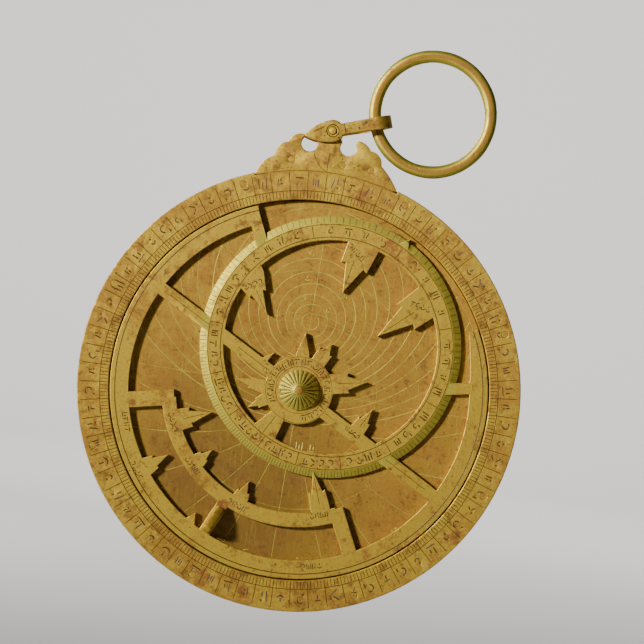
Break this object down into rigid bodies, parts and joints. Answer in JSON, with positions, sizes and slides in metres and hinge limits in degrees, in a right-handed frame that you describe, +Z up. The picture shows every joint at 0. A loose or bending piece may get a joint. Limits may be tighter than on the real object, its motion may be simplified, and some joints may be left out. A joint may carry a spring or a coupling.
{
  "type": "astrolabe",
  "caption": "Planispheric brass astrolabe with lobed throne, shackle and ring, pierced star map with an ecliptic ring, latitude plates, fluted central cap, and a sighted rule behind.",
  "frame": {"origin": "the middle of the hole at the top of the throne, on the shackle pin's axis and halfway through the throne's thickness: the point that the instrument hangs from", "axes": "+Z up through the throne as the instrument hangs, +X to the right as seen from the front, +Y toward the back with the sighting rule; the graduated face looks toward -Y"},
  "size_m": [0.155, 0.0272, 0.2018],
  "materials": {
    "mater_brass": "aged golden brass, olive patina, fine scratches, dark grime in the engraving",
    "plate_brass": "aged reddish brass plate with bright engraved lines",
    "rete_brass": "aged golden brass, olive and copper-red patina, worn edges",
    "bronze": "brown bronze, polished by handling on its inner side",
    "copper_rivet": "coppery brass, hammered flush",
    "alidade_brass": "aged golden brass"
  },
  "bodies": {
    "mater": {"mater_plate": "mater_brass", "limb_ring": "mater_brass", "limb_rivets": "mater_brass", "throne": "mater_brass", "throne_rivets": "mater_brass", "locating_stud": "copper_rivet", "tympan_1": "plate_brass", "tympan_2": "plate_brass", "tympan_3": "plate_brass", "tympan_4": "plate_brass"},
    "star_map": {"rete": "rete_brass", "rete_knob": "rete_brass"},
    "pin": {"pivot_pin": "copper_rivet", "fluted_cap": "rete_brass", "washer": "alidade_brass"},
    "wedge_body": {"wedge": "alidade_brass"},
    "alidade": {"alidade_rule": "alidade_brass", "sight_vane_east": "alidade_brass", "sight_vane_west": "alidade_brass"},
    "shackle_body": {"shackle": "mater_brass", "shackle_pin": "copper_rivet"},
    "ring": {"suspension_ring": "bronze"}
  },
  "joints": [
    {"name": "rete_turn", "type": "hinge", "parent": "mater", "child": "star_map", "pos_m": [0, 0, -0.0912], "axis": [0, 1, 0], "continuous": true},
    {"name": "alidade_turn", "type": "hinge", "parent": "mater", "child": "alidade", "pos_m": [0, 0, -0.0912], "axis": [0, 1, 0], "continuous": true},
    {"name": "pin_turn", "type": "hinge", "parent": "mater", "child": "pin", "pos_m": [0, 0, -0.0912], "axis": [0, 1, 0], "continuous": true},
    {"name": "wedge_slide", "type": "slide", "parent": "pin", "child": "wedge_body", "axis": [1, 0, 0], "range_m": [0, 0.022]},
    {"name": "shackle_swing", "type": "hinge", "parent": "mater", "child": "shackle_body", "pos_m": [0, 0, 0], "axis": [0, -1, 0], "range_deg": [-1, 143]},
    {"name": "ring_swing", "type": "hinge", "parent": "shackle_body", "child": "ring", "pos_m": [0.01452, 0, 0.00449], "axis": [-0.2957, 0, 0.9553], "range_deg": [-45, 45]}
  ]
}
